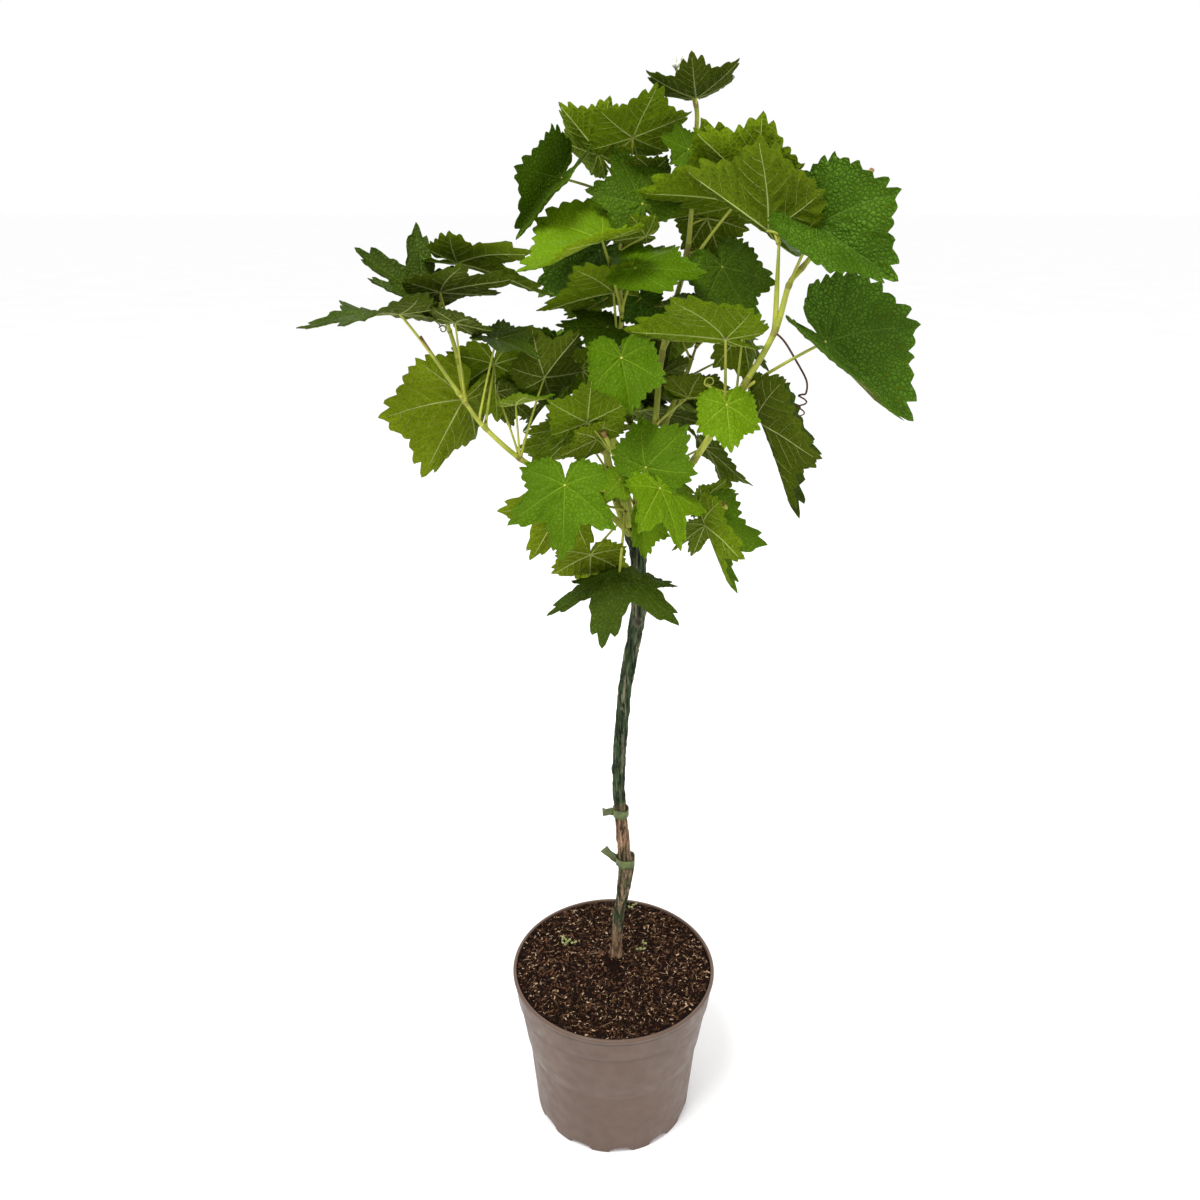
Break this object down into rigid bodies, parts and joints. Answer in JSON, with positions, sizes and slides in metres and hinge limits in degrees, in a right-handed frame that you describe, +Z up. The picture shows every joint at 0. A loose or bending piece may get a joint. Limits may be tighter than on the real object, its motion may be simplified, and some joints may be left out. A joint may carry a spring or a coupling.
{
  "type": "potted grapevine standard",
  "caption": "Young grapevine in a round nursery pot: slim leaning trunk topped by long leafy shoots with lobed, toothed leaves.",
  "frame": {"origin": "middle of the pot's flat underside", "axes": "+Z up the plant, -Y towards its front, +X to its right seen from the front"},
  "size_m": [0.4248, 0.2731, 0.9193],
  "materials": {
    "pot": "satin taupe plastic",
    "soil": "rough dark peat",
    "bark": "fissured bark, stained blue-green in its upper half",
    "tie_tape": "soft tape",
    "shoot": "smooth green stem",
    "foliage": "soft green leaf"
  },
  "bodies": {
    "root": {"pot": "pot", "soil": "soil", "trunk": "bark", "lower_tie": "tie_tape", "upper_tie": "tie_tape", "left_bough": "shoot", "right_bough": "shoot", "centre_bough": "shoot", "top_bough": "shoot", "inner_bough": "shoot", "back_left_bough": "shoot", "back_right_bough": "shoot", "back_bough": "shoot", "left_foliage": "foliage", "right_foliage": "foliage", "front_foliage": "foliage", "centre_foliage": "foliage", "top_foliage": "foliage", "inner_foliage": "foliage", "low_foliage": "foliage", "back_left_foliage": "foliage", "back_right_foliage": "foliage", "back_foliage": "foliage"}
  },
  "joints": []
}
